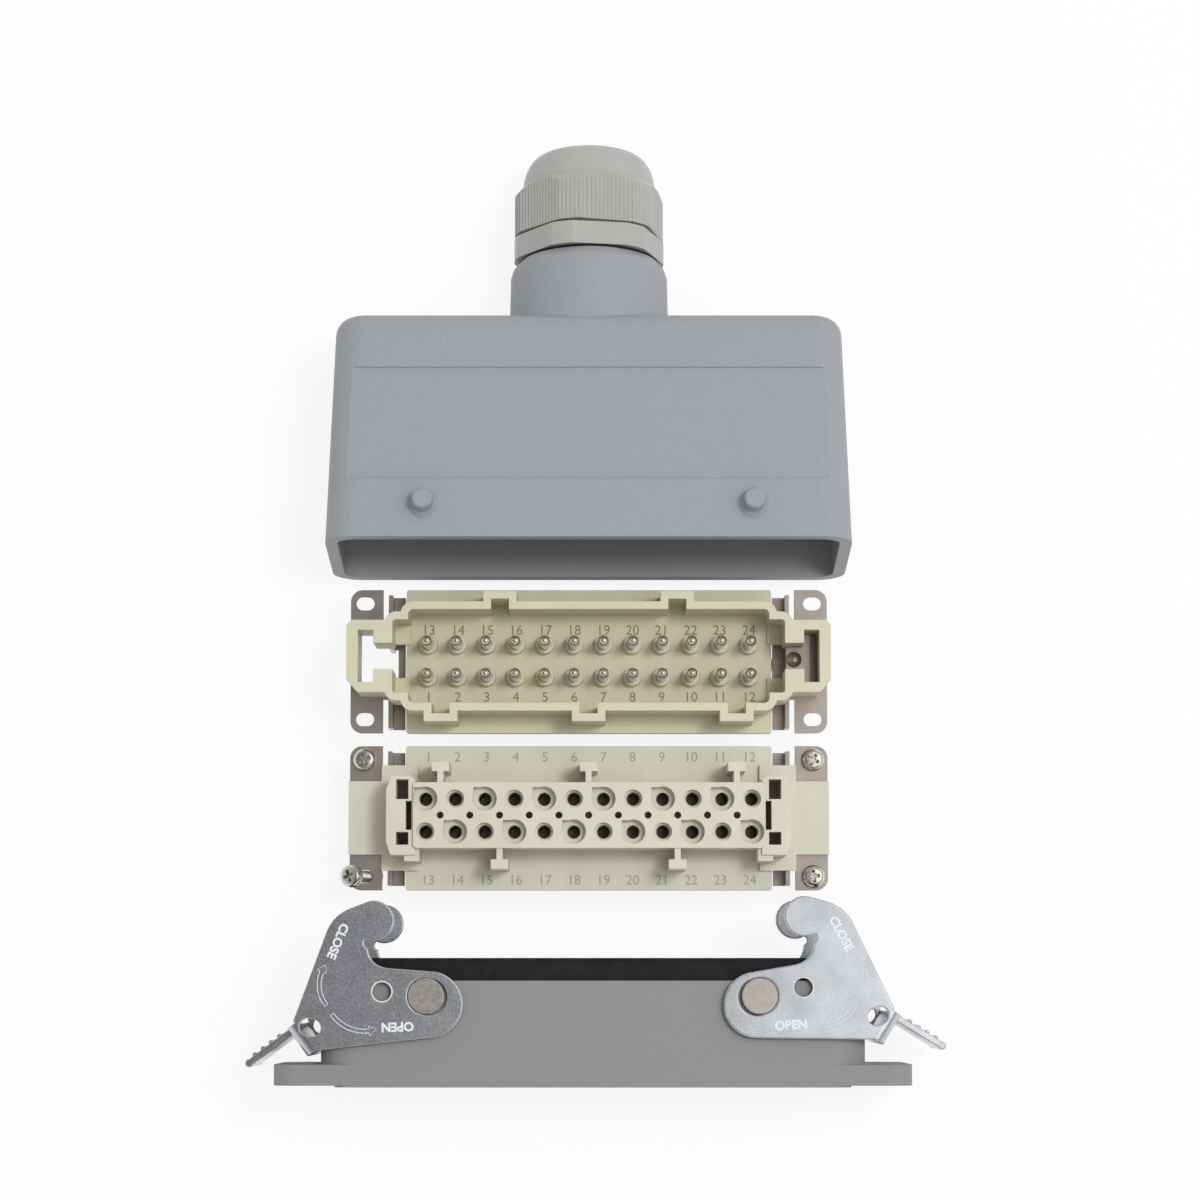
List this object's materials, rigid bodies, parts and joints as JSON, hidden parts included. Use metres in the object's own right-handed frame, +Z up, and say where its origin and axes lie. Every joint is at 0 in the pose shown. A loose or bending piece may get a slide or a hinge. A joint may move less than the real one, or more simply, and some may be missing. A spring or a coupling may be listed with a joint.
{
  "type": "heavy duty rectangular connector",
  "caption": "Rectangular power connector laid out in parts: metal hood with cable gland, pin insert, socket insert and bulkhead housing with locking levers.",
  "frame": {"origin": "on the table, in the middle of the laid-out set's footprint", "axes": "+Z up from the table, +X to the right along the inserts, +Y from the bulkhead housing towards the cable gland"},
  "size_m": [0.1587, 0.2184, 0.0555],
  "materials": {
    "hood_paint": "satin powder coat, bluish grey",
    "housing_paint": "satin powder coat, greenish grey",
    "gland_nylon": "moulded polyamide, light grey",
    "black_rubber": "moulded nitrile rubber",
    "insert_plastic": "glass-filled polycarbonate, pebble grey",
    "contact_silver": "silver-plated turned brass",
    "nickel_plate": "nickel-plated sheet",
    "zinc_plate": "zinc-plated stamped sheet steel",
    "screw_steel": "zinc-plated screws"
  },
  "bodies": {
    "root": {"hood_shell": "hood_paint", "gland_washer": "black_rubber", "gland_body": "gland_nylon", "gland_seal": "black_rubber", "male_body": "insert_plastic", "male_pins_upper": "contact_silver", "male_pins_lower": "contact_silver", "male_terminal_screws": "screw_steel", "male_earth_plate_left": "nickel_plate", "male_earth_plate_right": "nickel_plate", "male_earth_screw": "screw_steel", "male_earth_clamp": "nickel_plate", "female_body": "insert_plastic", "female_sockets_upper": "contact_silver", "female_sockets_lower": "contact_silver", "female_terminal_screws": "screw_steel", "female_earth_plate_left": "nickel_plate", "female_earth_plate_right": "nickel_plate", "female_earth_screw": "screw_steel", "female_earth_clamp": "nickel_plate", "female_mounting_screws": "screw_steel", "housing_shell": "housing_paint", "housing_gasket": "black_rubber", "flange_seal": "black_rubber", "lever_pivots": "nickel_plate"},
    "gland_nut": {"gland_nut": "gland_nylon"},
    "lever_left": {"lever_left": "zinc_plate"},
    "lever_right": {"lever_right": "zinc_plate"}
  },
  "joints": [
    {"name": "lever_left_swing", "type": "hinge", "parent": "root", "child": "lever_left", "pos_m": [-0.0381, -0.08873, 0.0241], "axis": [0, 0, 1], "range_deg": [-37, 2]},
    {"name": "lever_right_swing", "type": "hinge", "parent": "root", "child": "lever_right", "pos_m": [0.0369, -0.08873, 0.0241], "axis": [0, 0, 1], "range_deg": [-7.5, 31.5]},
    {"name": "gland_nut_turn", "type": "hinge", "parent": "root", "child": "gland_nut", "pos_m": [-0.0016, 0.08829, 0.01836], "axis": [0, 0.991, -0.1339], "continuous": true}
  ]
}
